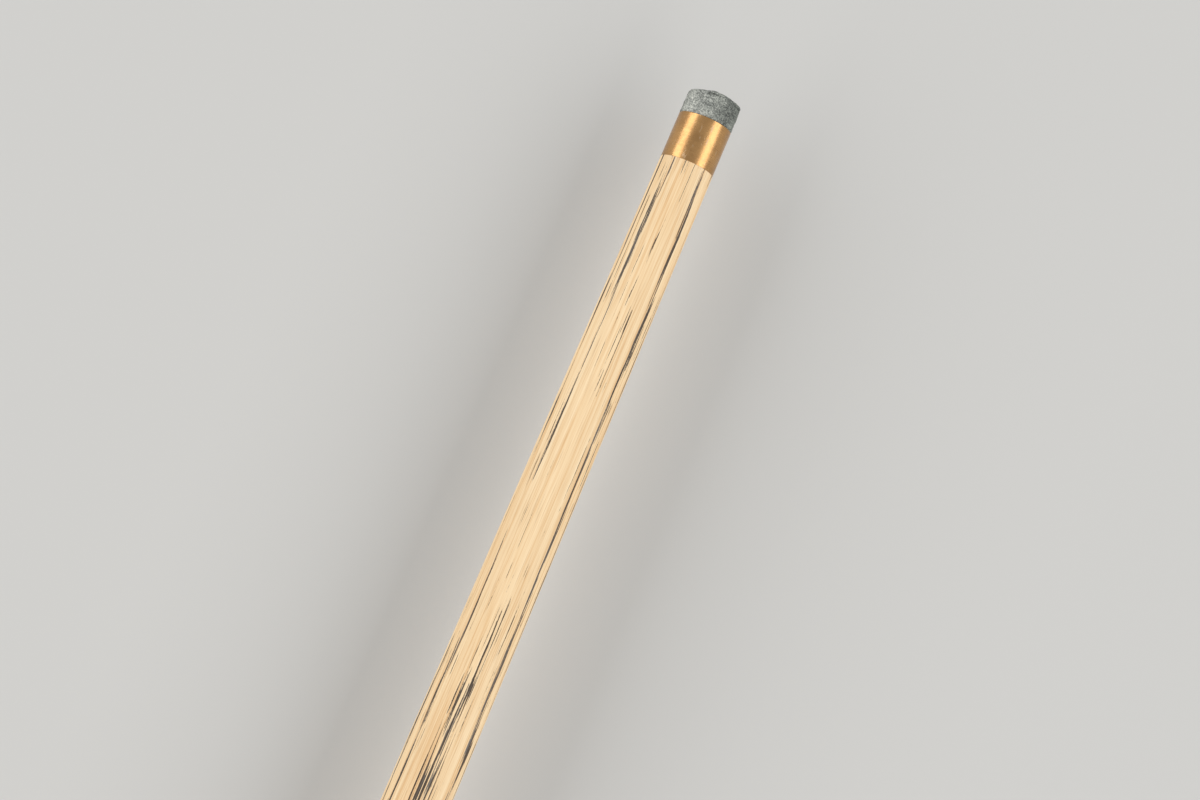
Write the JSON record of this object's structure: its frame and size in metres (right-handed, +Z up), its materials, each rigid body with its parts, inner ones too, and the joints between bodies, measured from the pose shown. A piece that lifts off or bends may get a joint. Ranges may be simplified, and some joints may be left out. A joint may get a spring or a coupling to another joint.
{
  "type": "snooker cue",
  "caption": "Tapered ash cue with a leather tip and brass ferrule, in two halves that screw together, with a spliced ebony butt and a threaded socket in its end.",
  "frame": {"origin": "on the cue's axis, at the face of the rubber bumper on the butt's end", "axes": "+Y along the cue from butt to tip; +Z up through the badge flat; +X to the right, seen from the butt"},
  "size_m": [0.0288, 1.448, 0.0281],
  "materials": {
    "ash": "oiled, grain filled black",
    "ebony": "polished",
    "rosewood": "polished",
    "veneer_light": "polished",
    "veneer_green": "dyed, polished",
    "brass": "turned and polished",
    "leather": "filed, chalked",
    "rubber": "matte",
    "steel": "plain"
  },
  "bodies": {
    "butt": {"butt_collar": "brass", "joint_pin": "brass", "butt_core": "ash", "top_splice": "ebony", "right_splice": "ebony", "bottom_splice": "ebony", "left_splice": "ebony", "front_splice": "rosewood", "outer_veneer": "veneer_light", "inner_veneer": "veneer_green", "badge_plate": "brass", "badge_pins": "brass", "balance_weight": "steel", "end_socket": "brass", "bumper_ring": "rubber"},
    "collar": {"shaft_collar": "brass"},
    "shaft": {"shaft": "ash", "shaft_bush": "brass", "ferrule": "brass", "tip": "leather"}
  },
  "joints": [
    {"name": "shaft_travel", "type": "slide", "parent": "butt", "child": "collar", "axis": [0, 1, 0], "range_m": [0, 0.016]},
    {"name": "shaft_unscrew", "type": "hinge", "parent": "collar", "child": "shaft", "pos_m": [0, 0.406, 0], "axis": [0, 1, 0], "range_deg": [0, 2880]}
  ],
  "couplings": [
    {"joint": "shaft_travel", "follows": "shaft_unscrew", "m_per_rad": 0.00031831}
  ]
}
